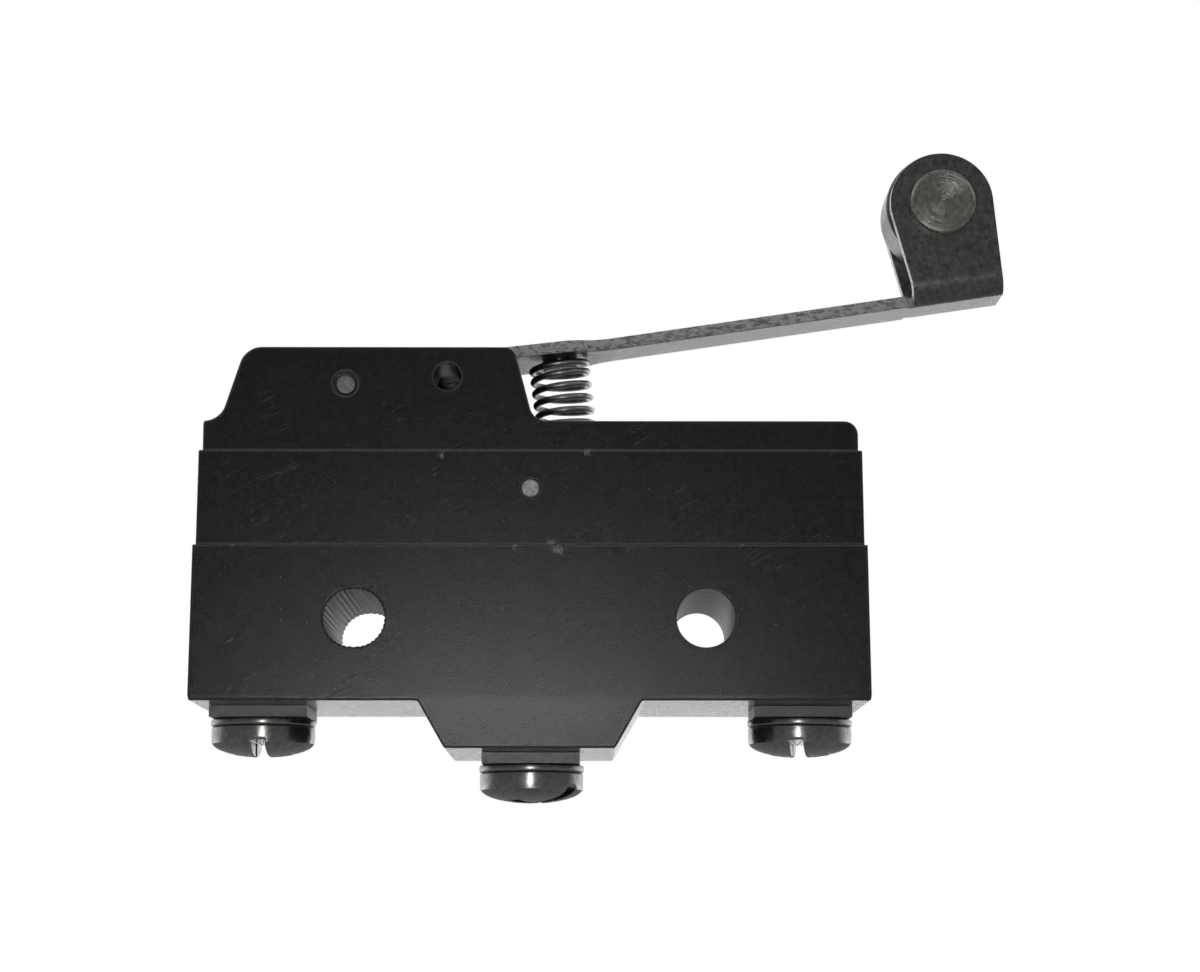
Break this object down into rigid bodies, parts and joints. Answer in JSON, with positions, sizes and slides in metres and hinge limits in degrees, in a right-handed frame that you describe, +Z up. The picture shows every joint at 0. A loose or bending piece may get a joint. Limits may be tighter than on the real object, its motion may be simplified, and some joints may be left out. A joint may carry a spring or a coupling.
{
  "type": "limit switch",
  "caption": "Snap-action limit switch: moulded case with through holes, sprung roller lever on hinge cheeks, coil spring over a plunger, and screw terminals below.",
  "frame": {"origin": "midway between the two mounting holes, on the rear mounting face", "axes": "+X along the case towards the roller end, +Y out of the rear face, +Z up from the terminals to the lever"},
  "size_m": [0.0602, 0.0174, 0.0491],
  "materials": {
    "case": "black moulded phenolic with a fine mineral speckle, satin",
    "pins": "nickel-plated steel pins with cut ends",
    "lever": "stainless sheet, tumbled, with rough sheared edges",
    "roller": "turned steel, satin",
    "axle": "spun rivet heads with concentric rings",
    "spring": "hard-drawn spring wire, bright in places",
    "plunger": "dark moulded plastic",
    "terminals": "bright brass, tin-flashed below",
    "screws": "bright nickel plate",
    "washers": "bright nickel plate",
    "blade": "rolled beryllium copper",
    "contacts": "fine silver"
  },
  "bodies": {
    "case": {"base": "case", "cover": "case", "cover_pin_front": "pins", "cover_pin_rear": "pins", "hinge_pin": "pins", "terminal_common": "terminals", "terminal_normally_open": "terminals", "terminal_normally_closed": "terminals", "open_contact": "contacts", "closed_contact": "contacts", "blade_rivet": "terminals"},
    "lever": {"lever": "lever", "spring_button": "lever", "roller_axle": "axle"},
    "roller": {"roller": "roller"},
    "plunger": {"plunger": "plunger", "coil_spring": "spring"},
    "snap_blade": {"snap_blade": "blade", "moving_contact": "contacts"},
    "washer_common": {"washer_common": "washers"},
    "screw_common": {"screw_common": "screws"},
    "washer_normally_open": {"washer_normally_open": "washers"},
    "screw_normally_open": {"screw_normally_open": "screws"},
    "washer_normally_closed": {"washer_normally_closed": "washers"},
    "screw_normally_closed": {"screw_normally_closed": "screws"}
  },
  "joints": [
    {"name": "lever_hinge", "type": "hinge", "parent": "case", "child": "lever", "pos_m": [-0.01354, -0.00873, 0.0172], "axis": [0, 1, 0], "range_deg": [0, 9], "stiffness_Nm_per_rad": 0.15, "springref_deg": -6.88, "deforming": ["coil_spring"]},
    {"name": "roller_spin", "type": "hinge", "parent": "lever", "child": "roller", "pos_m": [0.03092, -0.00873, 0.032], "axis": [0, 1, 0], "continuous": true},
    {"name": "plunger_slide", "type": "slide", "parent": "case", "child": "plunger", "axis": [0, 0, -1], "range_m": [0, 0.0006]},
    {"name": "blade_tilt", "type": "hinge", "parent": "case", "child": "snap_blade", "pos_m": [-0.0195, -0.00873, 0.00605], "axis": [0, 1, 0], "range_deg": [0, 0.8]},
    {"name": "screw_common_slide", "type": "slide", "parent": "case", "child": "washer_common", "axis": [0, 0, -1], "range_m": [0, 0.0028]},
    {"name": "screw_common_turn", "type": "hinge", "parent": "washer_common", "child": "screw_common", "pos_m": [-0.02, -0.00873, -0.00734], "axis": [0, 0, -1], "range_deg": [0, 1440]},
    {"name": "screw_normally_open_slide", "type": "slide", "parent": "case", "child": "washer_normally_open", "axis": [0, 0, -1], "range_m": [0, 0.0028]},
    {"name": "screw_normally_open_turn", "type": "hinge", "parent": "washer_normally_open", "child": "screw_normally_open", "pos_m": [0, -0.00873, -0.01075], "axis": [0, 0, -1], "range_deg": [0, 1440]},
    {"name": "screw_normally_closed_slide", "type": "slide", "parent": "case", "child": "washer_normally_closed", "axis": [0, 0, -1], "range_m": [0, 0.0028]},
    {"name": "screw_normally_closed_turn", "type": "hinge", "parent": "washer_normally_closed", "child": "screw_normally_closed", "pos_m": [0.02, -0.00873, -0.00734], "axis": [0, 0, -1], "range_deg": [0, 1440]}
  ],
  "couplings": [
    {"joint": "plunger_slide", "follows": "lever_hinge", "m_per_rad": 0.0038},
    {"joint": "blade_tilt", "follows": "lever_hinge", "ratio": 0.0872},
    {"joint": "screw_common_turn", "follows": "screw_common_slide", "rad_per_m": 8975.9},
    {"joint": "screw_normally_open_turn", "follows": "screw_normally_open_slide", "rad_per_m": 8975.9},
    {"joint": "screw_normally_closed_turn", "follows": "screw_normally_closed_slide", "rad_per_m": 8975.9}
  ]
}
